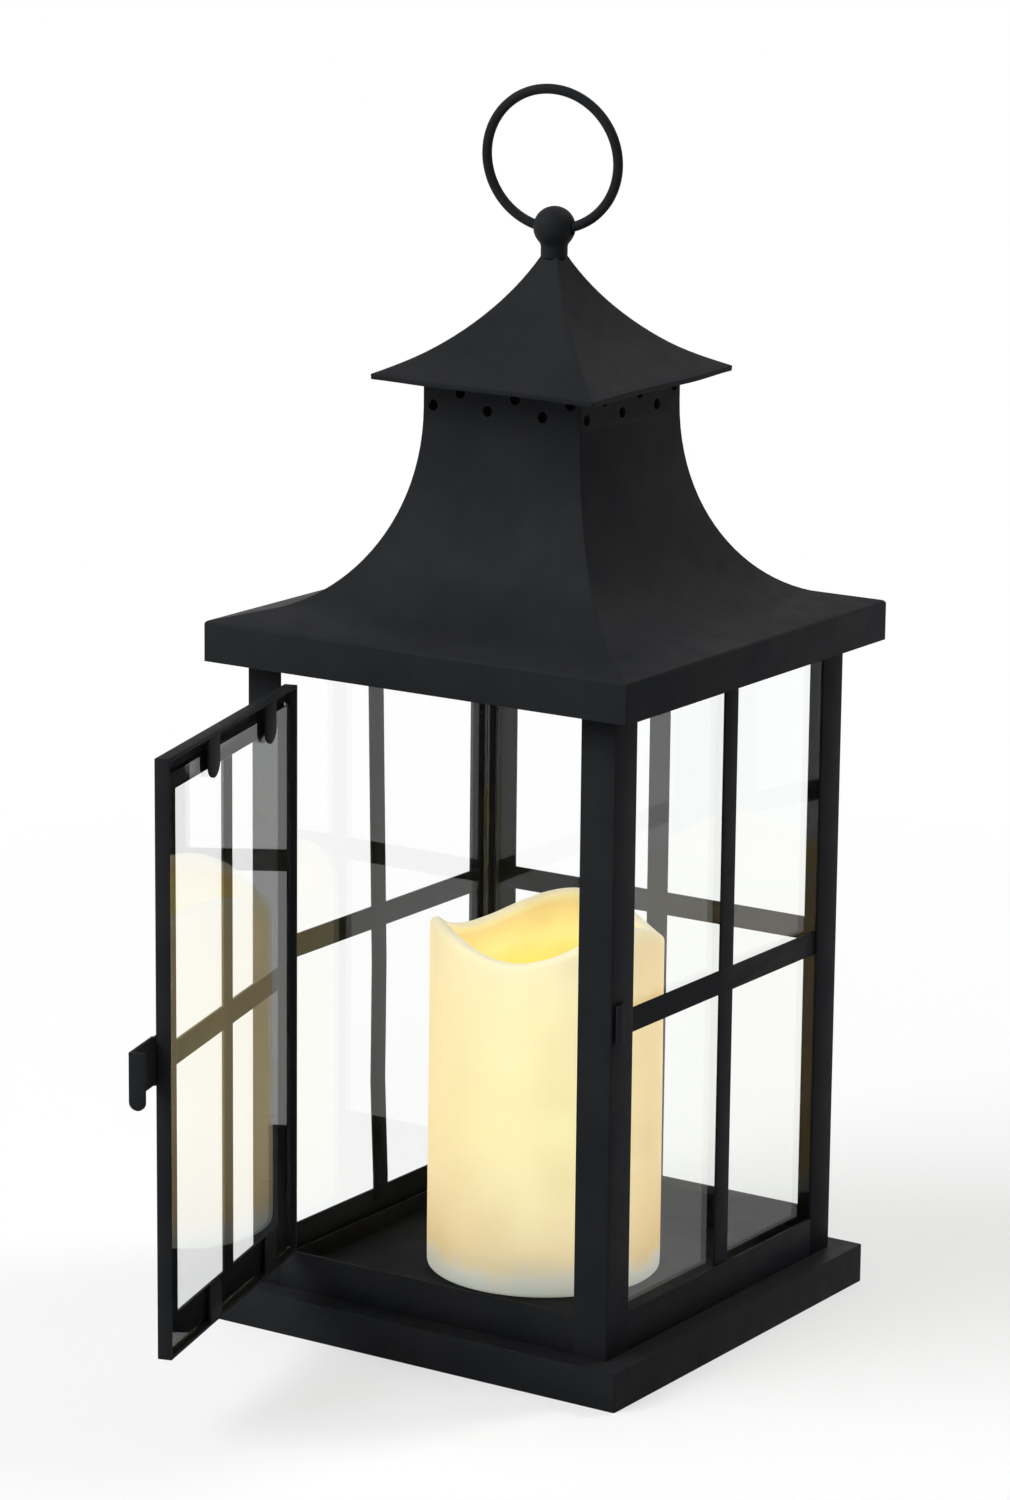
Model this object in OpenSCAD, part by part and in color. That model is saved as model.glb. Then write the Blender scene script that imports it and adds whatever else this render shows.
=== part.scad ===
// Free-standing metal and glass candle lantern: plinth, glazed body with a side-hung door,
// bell roof with a vented collar, cap roof, ball finial with a ring, and a flameless candle.
// Millimetres. Origin at the centre of the plinth's underside, +Z up, the door side faces -Y.

/* [Plinth and body] */
// Width of the square glazed body over its posts
body_w = 135.8; // [125:0.1:150]
// Width of the plinth's ledge round the body
plinth_ledge = 8.1; // [4:0.1:14]
// Height of the plinth
plinth_h = 12.6; // [9:0.1:20]
// Width of the plinth's hem, turned in under its walls
plinth_hem = 6; // [4:0.5:10]
// Thickness of the posts', rails' and plinth's sheet
sheet = 1; // [0.8:0.1:1.2]
// Width of each corner post's faces
post_w = 12.2; // [11:0.1:15]
// Height of the bottom rails above the plinth
rail_h = 12.5; // [9:0.1:20]
// Height of the window between bottom rail and header
window_h = 188.4; // [170:0.1:215]
// Height of the header rails behind the eaves
header_h = 15.6; // [10:0.1:20]
// Height of the rails' inner lip that the glass stands behind
rail_lip = 5; // [3:0.1:8]
// Width of the hollow square cell that stiffens each post's corner
cell = 5.6; // [5:0.1:6.5]

/* [Glazing] */
// Thickness of the glass
glass_t = 2; // [1.6:0.1:2.2]
// Depth of the glass behind the body's face
glass_set = 2.7; // [2.4:0.1:3]
// Clearance of the glass from its channel, on each side
glass_gap = 0.4; // [0.3:0.1:0.6]
// Width of the glazing bars
bar_w = 7.6; // [5:0.1:10]
// Thickness of the glazing bars
bar_t = 0.8; // [0.6:0.1:1]
// Height of the cross bars' middle above the floor
bar_z = 104.4; // [80:0.1:130]
// How far the bars reach behind the frame that they are welded to
bar_lap = 4; // [2:0.5:5]

/* [Door] */
// Angle at which the door is stored open
door_open = 74.3; // [0:0.1:90]
// Gap between the door and the posts
door_gap = 1.45; // [1:0.05:2]
// Gap between the door and the sill
door_sill_gap = 1.2; // [0.8:0.1:3]
// Gap between the door and the header
door_head_gap = 3.4; // [1:0.1:5]
// Depth of the door's folded angle
door_d = 4.6; // [4.4:0.1:6]
// Width of the angle's flange, which the glass lies on
door_flange = 11.3; // [8:0.1:13]
// Clearance of the door's glass below the top of its wall
glass_head_gap = 4.4; // [0.4:0.1:6]
// Width of a glass clip
clip_w = 9; // [6:0.1:10]
// Distance of a clip's tip from the door's end
clip_l = 13.7; // [12:0.1:16]
// Thickness of a clip
clip_t = 0.8; // [0.6:0.1:1]
// Distance between the two clips of one end
clip_pitch = 48.2; // [30:0.1:60]
// How far the clips' middle stands from the door's middle, towards the hinge
clip_shift = 7.3; // [0:0.1:12]

/* [Hinges and latch] */
// Radius of the hinge knuckles
knuckle_r = 2.2; // [2:0.1:2.4]
// Radius of the hinge pins
pin_r = 1.2; // [1:0.05:1.4]
// Radial clearance of each pin in its knuckles
pin_gap = 0.05; // [0.02:0.01:0.1]
// Distance of the hinge axis in front of the body's face
hinge_out = 2.6; // [2.5:0.1:3]
// Height of one hinge
hinge_h = 22; // [18:0.5:30]
// Height of a hinge's middle from the door's end
hinge_inset = 32; // [25:1:60]
// Length of each hinge leaf
leaf_l = 9.2; // [7:0.1:10]
// Height of the latch arm
latch_h = 15; // [10:0.1:18]
// Length of the pad that the latch is welded to the door by
latch_pad = 9; // [6:0.1:10]
// Gap between the latch arm and the post's face
latch_gap = 0.6; // [0.4:0.1:1]
// Depth of the latch finger, bent back beside the post
finger_d = 5.2; // [3.5:0.1:6]
// How far the finger hangs below the arm
finger_drop = 2.6; // [2:0.1:6]
// Clearance of the finger from the keeper
keeper_gap = 0.5; // [0.4:0.1:0.8]
// Height of the keeper
keeper_h = 13; // [10:0.1:20]
// Length of the keeper along the post
keeper_l = 6.5; // [6:0.1:8]
// How far the keeper's middle stands above the latch's
keeper_up = 0.6; // [0:0.1:1]
// Thickness of the keeper's strip
keeper_t = 0.8; // [0.6:0.1:1]
// How far the keeper's free end stands off the post
keeper_off = 1.3; // [0.8:0.1:1.6]

/* [Roof] */
// Overhang of the eaves beyond the body
eave_overhang = 9.8; // [6:0.1:14]
// Height of the fascia
fascia_h = 12.2; // [8:0.1:13]
// Thickness of the roof's sheet
roof_sheet = 0.8; // [0.6:0.1:1]
// Height of the bell curve over the eaves
bell_rise = 66; // [55:0.1:80]
// Slope of the straight flare inside the eaves
flare_slope = 12.5; // [8:0.1:18]
// Length of the flare
flare_l = 15.5; // [12:0.1:20]
// How strongly the bell curve keeps to the flare's slope
bell_foot = 18.3; // [10:0.1:24]
// How strongly the bell curve keeps to the collar's slope
bell_neck = 34.6; // [20:0.1:45]
// Width of the square collar
collar_w = 58; // [50:0.1:66]
// Height of the collar above the bell curve
collar_h = 15.6; // [14:0.1:22]
// Number of vent holes in each face
vent_count = 6; // [4:1:7]
// Spacing of the vent holes
vent_pitch = 10.1; // [6:0.1:10.2]
// Radius of a vent hole
vent_r = 1.75; // [1:0.05:2]
// Height of the lower row of vents above the bell curve
vent_low = 0.7; // [0.5:0.1:4]
// Height between the two rows of vents
vent_step = 4.7; // [3:0.1:5.2]
// Clearance where the roof sits on the body and the cap on the collar
seat_gap = 0.2; // [0.1:0.05:0.5]

/* [Cap and finial] */
// Width of the cap roof over its edge
cap_w = 81.8; // [74:0.1:92]
// Height of the cap roof
cap_rise = 35.9; // [30:0.1:45]
// Width of the cap's flat top
cap_top_w = 7.2; // [6.8:0.1:9]
// Radius of the cap's hollow curve
cap_arc_r = 80; // [65:1:120]
// Width of the hem folded back under the cap's edge
cap_hem = 4; // [2:0.5:6]
// Radius of the ball
ball_r = 6.3; // [6:0.1:8]
// Radius of the ball's neck
neck_r = 4.1; // [3.6:0.1:4.6]
// Height of the ball's middle above the cap
ball_up = 9.2; // [8.6:0.1:11]
// Mean radius of the ring
ring_r = 21.9; // [18:0.1:25]
// Radius of the ring's wire
wire_r = 1.55; // [1.3:0.05:1.7]
// Least clearance of the wire in the ball's hole
ring_gap = 0.3; // [0.2:0.05:0.4]
// Turn of the ring about the vertical
ring_yaw = 10; // [0:1:45]
// Lean of the ring towards the front
ring_lean = 6.4; // [0:0.1:20]
// Radius of the stud that holds the cap down
stud_r = 1.95; // [1.5:0.05:2]
// Width of the bridge strap in the collar
bridge_w = 12; // [10:0.5:16]
// Thickness of the bridge strap
bridge_t = 1.2; // [1:0.1:1.5]
// Height of the strap's upturned ends
bridge_ear = 6; // [4:0.1:6.5]
// How far the strap's ends stop below the collar's rim
bridge_drop = 1.8; // [1:0.1:2.5]
// Length of the stud below its nut
stud_tail = 2; // [1:0.1:3]
// Metal between the stud's end and the ring's hole
stud_wall = 2; // [1.5:0.1:2.5]
// Width of the nut across its flats
nut_w = 7; // [6.5:0.1:8]
// Height of the nut
nut_h = 3.2; // [2.5:0.1:4]

/* [Candle] */
// Radius of the candle
candle_r = 38; // [36:0.1:42]
// Mean height of the candle's rim
candle_h = 112.4; // [105:0.1:130]
// Height of the waves in the rim
rim_wave = 4.4; // [0:0.1:6]
// Direction of the first crest of the rim
wave_turn = -13; // [-60:1:60]
// How much the rim leans
rim_tilt = 1.6; // [0:0.1:3]
// Direction in which the rim leans down
tilt_turn = 107; // [0:1:359]
// Thickness of the wax at the rim
rim_t = 4.4; // [3:0.1:6]
// Height of the rounding over the rim
rim_round = 2.3; // [1:0.1:4]
// Rounding of the candle's bottom edge
foot_round = 1.4; // [0.8:0.1:2.5]
// Depth of the cup below the mean rim
cup_depth = 32; // [24:0.5:36]
// Thickness of the cup's floor
cup_floor = 8; // [5:0.5:10]
// Radius of the lamp's well in the cup's floor
well_r = 6; // [4:0.1:8]
// Rounding between the cup's wall and its floor
cup_round = 8; // [5:0.5:10]
// How much thicker the wax is above that rounding than at the rim
cup_lean = 1.6; // [0.5:0.1:3]
// Radius of the cavity for the battery case
cavity_r = 29.5; // [28.5:0.1:31]
// Clearance of the candle above the lantern's floor
candle_seat = 0.3; // [0.2:0.1:0.5]

/* [Battery case and lamp] */
// Thickness of the case's bottom plate
plate_t = 2.5; // [2:0.1:3]
// Recess of the plate above the candle's foot
plate_recess = 1.5; // [1:0.1:2]
// Wall of the battery box
case_wall = 1.5; // [1.2:0.1:2]
// Radius of a cell
cell_r = 7.1; // [6.9:0.05:7.2]
// Length of a cell
cell_l = 50.5; // [49:0.1:51]
// Clearance round the cells and the battery cover
case_gap = 0.3; // [0.2:0.05:0.5]
// Thickness of the battery cover
cover_t = 1.3; // [1:0.1:1.4]
// Thickness of the contacts' sheet
contact_t = 0.4; // [0.3:0.1:0.5]
// Width of the contacts' sheet
contact_w = 6; // [4:0.5:10]
// Height of the contact springs
spring_h = 2.6; // [2:0.1:4]
// Radius of the lamp board
board_r = 12; // [9:0.1:14]
// Thickness of the lamp board
board_t = 1.6; // [1:0.1:2]
// Height of the lamp board above the battery box
board_up = 4; // [3:0.1:4.5]
// Radius of the lamp
lamp_r = 2.5; // [2:0.1:3]
// Travel of the slide switch
switch_travel = 4; // [2:0.1:5]
// Width of the switch knob
knob_w = 4; // [3:0.1:5]
// Distance of the switch from the battery box
switch_inset = 8; // [6.5:0.1:8.5]

/* [Hidden] */
$fn = 48;
black = [0.05, 0.05, 0.055];
steel = [0.72, 0.73, 0.75];
clear = [0.85, 0.92, 0.9, 0.3];
ivory = [0.96, 0.9, 0.74];
white = [0.9, 0.9, 0.88];
cut = 1; // overshoot of cutting tools

// Heights and half-widths of the body
body_half = body_w / 2;
plinth_half = body_half + plinth_ledge;
opening_half = body_half - post_w;
rail_top = plinth_h + rail_h;
header_bottom = rail_top + window_h;
wall_top = header_bottom + header_h;
bar_mid = plinth_h + bar_z;
// How far each side's hand-set cross of bars stands off its middle, sideways and up:
// 0 the door, 1 right, 2 back, 3 left
bar_shifts = [[0, 1.5], [1, 1], [0, 2.3], [0, 1.5]];
glass_play = 0.6;
channel_d = glass_set + glass_t + glass_play + sheet; // depth of the rails' channels
pane_w = body_w - 2 * (cell + glass_gap);
pane_bottom = plinth_h + sheet + glass_gap;
pane_top = wall_top - sheet - rail_lip; // leaves room to lift the pane over the bottom rail's lip

// Door, drawn closed and then turned about its hinge
door_w = 2 * (opening_half - door_gap);
door_half = door_w / 2;
door_bottom = rail_top + door_sill_gap;
door_top = header_bottom - door_head_gap;
door_h = door_top - door_bottom;
door_mid = (door_top + door_bottom) / 2;
door_y = -body_half;
hinge_x = -opening_half + door_gap / 2;
hinge_y = -body_half - hinge_out;
hinge_mids = [door_bottom + hinge_inset, door_top - hinge_inset];
knuckle_gap = 0.3; // between two knuckles of one hinge
knuckle_h = (hinge_h - 2 * knuckle_gap) / 3;
leaf_root = knuckle_r + 0.5; // where a leaf's plate begins, clear of the other leaf's knuckles

// Latch and keeper, level with the door's cross bar
latch_mid = bar_mid + bar_shifts[0][1];
arm_y = door_y - latch_gap - sheet;
keeper_out = body_half + keeper_off + keeper_t;
keeper_front = door_y + sheet / 4;
finger_x = keeper_out + keeper_gap;

// Roof
roof_half = body_half + eave_overhang;
collar_half = collar_w / 2;
flare_drop = roof_sheet / cos(flare_slope); // thickness of the flare, measured upright
eave_z = wall_top + seat_gap + flare_drop - eave_overhang * tan(flare_slope);
bell_top = eave_z + bell_rise;
collar_top = bell_top + collar_h;
bell_steps = 20;
flare_way = [-cos(flare_slope), sin(flare_slope)];
flare_end = [roof_half, eave_z] + flare_l * flare_way;
bell_handles = [
    flare_end, flare_end + bell_foot * flare_way,
    [collar_half, bell_top - bell_neck], [collar_half, bell_top]
];

// Cap: its section is an arc from the edge to the flat top
cap_half = cap_w / 2;
cap_top_half = cap_top_w / 2;
cap_chord = [cap_top_half - cap_half, cap_rise];
cap_arc_off = sqrt(pow(cap_arc_r, 2) - pow(norm(cap_chord) / 2, 2));
cap_centre = [cap_half, 0] + cap_chord / 2 + [cap_rise, cap_half - cap_top_half] / norm(cap_chord) * cap_arc_off;
cap_a0 = atan2(-cap_centre[1], cap_half - cap_centre[0]);
cap_a1 = atan2(cap_rise - cap_centre[1], cap_top_half - cap_centre[0]);
cap_steps = 14;
cap_hem_a = cap_hem / cap_arc_r * 180 / PI;
cap_under = cap_centre[1] - sqrt(pow(cap_arc_r + roof_sheet, 2) - pow(cap_centre[0] - collar_half, 2));
cap_z = collar_top + seat_gap - cap_under;
cap_top = cap_z + cap_rise;

// Finial and ring
ball_z = cap_top + ball_up;
ring_sag = ring_r - sqrt(pow(ring_r, 2) - pow(ball_r, 2));
hole_r = wire_r + ring_sag / 2 + ring_gap;
stud_gap = 0.05;
stud_top = ball_z - hole_r - stud_wall;
bridge_z = collar_top - bridge_ear - bridge_drop;
stud_bottom = bridge_z - nut_h - stud_tail;

// Candle
candle_z = plinth_h + candle_seat;
candle_steps = 48;
cup_z = candle_h - cup_depth;
ceiling_z = cup_z - cup_floor;
cavity_round = 2;
plate_z = candle_z + plate_recess;
plate_top = plate_z + plate_t;
box_in_l = 4 * cell_r + 3 * case_gap;
box_in_w = 2 * (cell_r + case_gap);
box_l = box_in_l + 2 * case_wall;
box_w = box_in_w + 2 * case_wall;
cover_seat = 0.1; // how far the battery cover lies above the plate's face
cover_z = plate_z + cover_seat;
contact_z = cover_z + cover_t;
cell_z = contact_z + contact_t;
box_ceiling = cell_z + cell_l + spring_h;
box_top = box_ceiling + case_wall;
tongue_l = 8;
cover_rebate = cover_t + 2 * cover_seat;
screw_x = box_l / 2 + tongue_l / 2;
screw_r = 1.25;
board_z = box_top + board_up;
lamp_z = board_z + board_t;
switch_y = -(box_w / 2 + switch_inset);
knob_d = 3;
slide_gap = 0.3; // round the knob in its slot
shoe_gap = 0.15; // between the slider's shoe and the plate
slot_l = knob_w + switch_travel + 2 * slide_gap;
shoe_l = slot_l + switch_travel; // covers the slot wherever the slider stands
shoe_w = knob_d + 2;
shoe_h = 1.4;

function wave(a) = rim_wave * cos(3 * (a - wave_turn)) - rim_tilt * cos(a - tilt_turn);

// Point of the bell curve at share t of its way, and the curve's direction there
function bell_point(t) = let (p = bell_handles)
    pow(1 - t, 3) * p[0] + 3 * pow(1 - t, 2) * t * p[1] + 3 * (1 - t) * t * t * p[2] + pow(t, 3) * p[3];
function bell_way(t) = let (p = bell_handles)
    pow(1 - t, 2) * (p[1] - p[0]) + 2 * (1 - t) * t * (p[2] - p[1]) + t * t * (p[3] - p[2]);

// The same point on the underside of the sheet
function bell_under(t) = let (way = bell_way(t))
    bell_point(t) + roof_sheet / norm(way) * [-way[1], way[0]];

// Point of the cap's section at a radius from its arc's centre and an angle past the edge
function cap_point(r, a) = cap_centre + [0, cap_z] + r * [cos(cap_a0 - a), sin(cap_a0 - a)];

// ---- Shared shapes ----

// Turns what is drawn for the front side to side number i: 0 front, 1 right, 2 back, 3 left
module on_side(i) {
    rotate([0, 0, 90 * i]) children();
}

// A block between two corners
module block(low, high) {
    translate(low) cube(high - low);
}

// A rectangular ring round the door's edge, behind the door's face
module door_ring(border, depth) {
    difference() {
        block([-door_half, door_y, door_bottom], [door_half, door_y + depth, door_top]);
        block([-door_half + border, door_y - cut, door_bottom + border],
              [door_half - border, door_y + depth + cut, door_top - border]);
    }
}

// Puts what is drawn for the closed door at its stored angle
module hung() {
    translate([hinge_x, hinge_y, 0]) rotate([0, 0, -door_open]) translate([-hinge_x, -hinge_y, 0]) children();
}

// ---- Plinth and body ----

module base_tray() {
    color(black) difference() {
        block([-plinth_half, -plinth_half, 0], [plinth_half, plinth_half, plinth_h]);
        block([-plinth_half + sheet, -plinth_half + sheet, sheet],
              [plinth_half - sheet, plinth_half - sheet, plinth_h - sheet]);
        block([-plinth_half + plinth_hem, -plinth_half + plinth_hem, -cut],
              [plinth_half - plinth_hem, plinth_half - plinth_hem, sheet + cut]);
    }
}

// Post section with its corner at the origin: a square cell and two flanges
module post_section() {
    difference() {
        square(cell);
        translate([sheet, sheet]) square(cell - 2 * sheet);
    }
    square([post_w, sheet]);
    square([sheet, post_w]);
}

module post(left, back) {
    color(black) translate([0, 0, plinth_h]) linear_extrude(wall_top - plinth_h)
        mirror([left ? 0 : 1, 0]) mirror([0, back ? 1 : 0])
            translate([-body_half, -body_half]) post_section();
}

// Strip of rail between two depths behind the body's face and two heights
module rail_strip(depth0, depth1, low, high) {
    block([-opening_half, -body_half + depth0, low], [opening_half, -body_half + depth1, high]);
}

// The glazed sides' rails are channels round the glass; the door's side has plain angles
module bottom_rail(i) {
    color(black) on_side(i) {
        rail_strip(0, sheet, plinth_h, rail_top);
        rail_strip(0, channel_d, plinth_h, plinth_h + sheet);
        if (i > 0) rail_strip(channel_d - sheet, channel_d, plinth_h, plinth_h + sheet + rail_lip);
    }
}

module header_rail(i) {
    color(black) on_side(i) {
        rail_strip(0, sheet, header_bottom, wall_top);
        rail_strip(0, channel_d, wall_top - sheet, wall_top);
        if (i > 0) rail_strip(channel_d - sheet, channel_d, header_bottom, wall_top);
    }
}

// ---- Fixed glazing ----

module pane(i) {
    color(clear) on_side(i)
        block([-pane_w / 2, -body_half + glass_set, pane_bottom],
              [pane_w / 2, -body_half + glass_set + glass_t, pane_top]);
}

// Welded cross of flat bars of side number i, with its front at y
module bar_cross(i, half, bottom, top, y) {
    x = bar_shifts[i][0];
    z = bar_mid + bar_shifts[i][1];
    block([x - bar_w / 2, y, bottom], [x + bar_w / 2, y + bar_t, top]);
    block([-half, y, z - bar_w / 2], [half, y + bar_t, z + bar_w / 2]);
}

module bars(i) {
    color(black) on_side(i)
        bar_cross(i, opening_half + bar_lap, rail_top - bar_lap, header_bottom + bar_lap, -body_half + sheet);
}

// ---- Roof ----

// Half section of one roof panel: fascia, flare, bell curve and collar
module roof_section() {
    inside = roof_half - roof_sheet;
    polygon(concat(
        [[roof_half, eave_z - fascia_h], [roof_half, eave_z]],
        [for (i = [0:bell_steps]) bell_point(i / bell_steps)],
        [[collar_half, collar_top], [collar_half - roof_sheet, collar_top]],
        [for (i = [bell_steps:-1:0]) bell_under(i / bell_steps)],
        [[inside, eave_z + roof_sheet * tan(flare_slope) - flare_drop], [inside, eave_z - fascia_h]]));
}

// A section drawn in the plane of radius and height, run along the front side and mitred
module mitred_panel(reach, top) {
    intersection() {
        translate([reach, 0, 0]) rotate([90, 0, -90]) linear_extrude(2 * reach) children();
        linear_extrude(top + cut) polygon([[0, 0], [-reach, -reach], [reach, -reach]]);
    }
}

module roof_panel(i) {
    color(black) on_side(i) difference() {
        mitred_panel(roof_half, collar_top) roof_section();
        for (k = [0:vent_count - 1])
            translate([(k - (vent_count - 1) / 2) * vent_pitch, 0, bell_top + vent_low + (k % 2) * vent_step])
                rotate([90, 0, 0]) cylinder(r = vent_r, h = roof_half);
    }
}

// ---- Cap and finial ----

// Section of the cap: the hollow arc with its edge folded back under itself
module cap_section() {
    turn = cap_a0 - cap_a1;
    polygon(concat(
        [for (i = [0:cap_steps]) cap_point(cap_arc_r, turn * i / cap_steps)],
        [for (i = [cap_steps:-1:0]) let (a = cap_hem_a + (turn - cap_hem_a) * i / cap_steps)
            cap_point(cap_arc_r + roof_sheet, a)],
        [cap_point(cap_arc_r + 2 * roof_sheet, cap_hem_a), cap_point(cap_arc_r + 2 * roof_sheet, 0)]));
}

module cap_roof() {
    color(black) for (i = [0:3]) on_side(i) mitred_panel(cap_half, cap_top) cap_section();
}

module cap_bridge() {
    inside = collar_half - roof_sheet;
    color(black) difference() {
        union() {
            block([-inside, -bridge_w / 2, bridge_z], [inside, bridge_w / 2, bridge_z + bridge_t]);
            for (s = [-1, 1]) translate([s * (inside - bridge_t / 2), 0, bridge_z + bridge_ear / 2])
                cube([bridge_t, bridge_w, bridge_ear], center = true);
        }
        translate([0, 0, bridge_z - cut]) cylinder(r = stud_r + stud_gap, h = bridge_t + 2 * cut);
    }
}

module finial_ball() {
    color(black) difference() {
        union() {
            translate([0, 0, ball_z]) sphere(r = ball_r, $fn = 64);
            translate([0, 0, cap_top]) cylinder(r = neck_r, h = ball_up);
        }
        translate([0, 0, ball_z]) rotate([0, 0, ring_yaw]) rotate([0, 90, 0])
            cylinder(r = hole_r, h = 4 * ball_r, center = true);
        translate([0, 0, cap_top - cut]) cylinder(r = stud_r + stud_gap, h = stud_top - cap_top + cut + stud_gap);
    }
}

module finial_stud() {
    color(steel) translate([0, 0, stud_bottom]) cylinder(r = stud_r, h = stud_top - stud_bottom);
}

module stud_nut() {
    color(steel) translate([0, 0, bridge_z - nut_h]) difference() {
        cylinder(r = nut_w / sqrt(3), h = nut_h, $fn = 6);
        translate([0, 0, -cut]) cylinder(r = stud_r + stud_gap, h = nut_h + 2 * cut);
    }
}

module ring_handle() {
    color(black) translate([0, 0, ball_z]) rotate([0, 0, ring_yaw]) rotate([ring_lean, 0, 0])
        translate([0, 0, ring_r - ring_sag / 2]) rotate([90, 0, 0])
            rotate_extrude($fn = 96) translate([ring_r, 0]) circle(r = wire_r, $fn = 24);
}

// ---- Hinges, latch and keeper ----

// One knuckle barrel with its root on the leaf; s is -1 for the post's leaf and 1 for the door's
module knuckle(z, h, s) {
    difference() {
        union() {
            translate([hinge_x, hinge_y, z]) cylinder(r = knuckle_r, h = h);
            translate([hinge_x + (s < 0 ? -leaf_root : 0), door_y - sheet, z]) cube([leaf_root, sheet, h]);
        }
        translate([hinge_x, hinge_y, z - cut]) cylinder(r = pin_r + pin_gap, h = h + 2 * cut);
    }
}

module leaf(mid, s) {
    translate([hinge_x + (s < 0 ? -leaf_l : leaf_root), door_y - sheet, mid - hinge_h / 2])
        cube([leaf_l - leaf_root, sheet, hinge_h]);
}

module post_knuckles() {
    color(black) for (mid = hinge_mids) union() {
        leaf(mid, -1);
        knuckle(mid - hinge_h / 2, knuckle_h, -1);
        knuckle(mid + hinge_h / 2 - knuckle_h, knuckle_h, -1);
    }
}

module door_knuckles() {
    color(black) hung() for (mid = hinge_mids) union() {
        leaf(mid, 1);
        knuckle(mid - knuckle_h / 2, knuckle_h, 1);
    }
}

module hinge_pins() {
    head_h = 1;
    head_r = (knuckle_r + pin_r) / 2;
    color(black) for (mid = hinge_mids) translate([hinge_x, hinge_y, mid - hinge_h / 2]) {
        cylinder(r = pin_r, h = hinge_h);
        translate([0, 0, hinge_h]) cylinder(r = head_r, h = head_h);
    }
}

// Spring tab: pad welded to the door's flange, arm joggled in front of the post, and a finger
// bent back over the keeper on the post's side
module latch_tab() {
    low = latch_mid - latch_h / 2;
    high = latch_mid + latch_h / 2;
    tip_r = finger_d / 2;
    tip_z = low - finger_drop + tip_r;
    color(black) hung() {
        block([door_half - latch_pad, door_y - sheet, low], [door_half, door_y, high]);
        block([door_half - sheet, arm_y, low], [door_half, door_y, high]);
        block([door_half - sheet, arm_y, low], [finger_x + sheet, arm_y + sheet, high]);
        block([finger_x, arm_y, tip_z], [finger_x + sheet, arm_y + finger_d, high]);
        translate([finger_x, arm_y + tip_r, tip_z]) rotate([0, 90, 0]) cylinder(r = tip_r, h = sheet);
    }
}

// Sprung strip on the post's side: welded foot, a joggle and the raised end that the finger rides over
module latch_keeper() {
    foot_l = 2;
    joggle_l = 1.5;
    back = keeper_front + keeper_l;
    raised = body_half + keeper_off;
    color(black) translate([0, 0, latch_mid + keeper_up - keeper_h / 2]) linear_extrude(keeper_h)
        polygon([
            [body_half, back], [body_half, back - foot_l], [raised, back - foot_l - joggle_l],
            [raised, keeper_front], [keeper_out, keeper_front], [keeper_out, back - foot_l - joggle_l],
            [body_half + keeper_t, back - foot_l], [body_half + keeper_t, back]
        ]);
}

// ---- Door ----

// Folded angle: a flange in the door's face and a wall round its edge
module door_frame() {
    color(black) hung() {
        door_ring(door_flange, sheet);
        door_ring(sheet, door_d);
    }
}

// The glass lies on the flange, inside the wall, and stops short of the wall's top
module door_glass() {
    edge = sheet + glass_gap;
    color(clear) hung()
        block([-door_half + edge, door_y + sheet, door_bottom + edge],
              [door_half - edge, door_y + sheet + glass_t, door_top - sheet - glass_head_gap]);
}

// Bars between the flanges, flush with their backs so that the glass lies flat
module door_bars() {
    color(black) hung()
        bar_cross(0, door_half - door_flange, door_bottom + door_flange, door_top - door_flange,
                  door_y + sheet - bar_t);
}

// One rounded tab from the wall's edge over the glass; up is 1 at the top and -1 at the bottom
module clip(x, up) {
    y = door_y + door_d - clip_t;
    root = door_mid + up * (door_h / 2 - sheet);
    tip = door_mid + up * (door_h / 2 - clip_l + clip_w / 2);
    block([x - clip_w / 2, y, min(tip, root)], [x + clip_w / 2, y + clip_t, max(tip, root)]);
    translate([x, y, tip]) rotate([-90, 0, 0]) cylinder(r = clip_w / 2, h = clip_t);
}

module door_clips() {
    color(black) hung() for (side = [-1, 1], up = [-1, 1]) clip(side * clip_pitch / 2 - clip_shift, up);
}

// ---- Candle ----

// Closed shell turned from a section; each section point is radius, height and share of the wave
module candle_wax() {
    rim_mid = candle_r - rim_t / 2;
    cup_mid = candle_r - rim_t - cup_lean - cup_round;
    section = concat(
        [[candle_r - foot_round, 0, 0], [candle_r, foot_round, 0], [candle_r, cup_z, 0.1]],
        [for (a = [0:45:180]) [rim_mid + rim_t / 2 * cos(a), candle_h - rim_round + rim_round * sin(a), 1]],
        [[candle_r - rim_t - cup_lean / 3, candle_h - cup_depth / 2, 0.6]],
        [for (a = [0:30:90]) [cup_mid + cup_round * cos(a), cup_z + cup_round - cup_round * sin(a), 0.2 * cos(a)]],
        [[well_r, cup_z, 0], [well_r, ceiling_z, 0], [cavity_r - cavity_round, ceiling_z, 0]],
        [[cavity_r, ceiling_z - cavity_round, 0], [cavity_r, 0, 0]]);
    rings = len(section);
    points = [for (p = section, j = [0:candle_steps - 1]) let (a = 360 * j / candle_steps)
        [p[0] * cos(a), p[0] * sin(a), p[1] + p[2] * wave(a)]];
    function at(i, j) = (i % rings) * candle_steps + j % candle_steps;
    faces = [for (i = [0:rings - 1], j = [0:candle_steps - 1], half = [0, 1])
        half == 0 ? [at(i, j), at(i + 1, j), at(i + 1, j + 1)] : [at(i, j), at(i + 1, j + 1), at(i, j + 1)]];
    color(ivory) translate([0, 0, candle_z]) polyhedron(points, faces);
}

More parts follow.
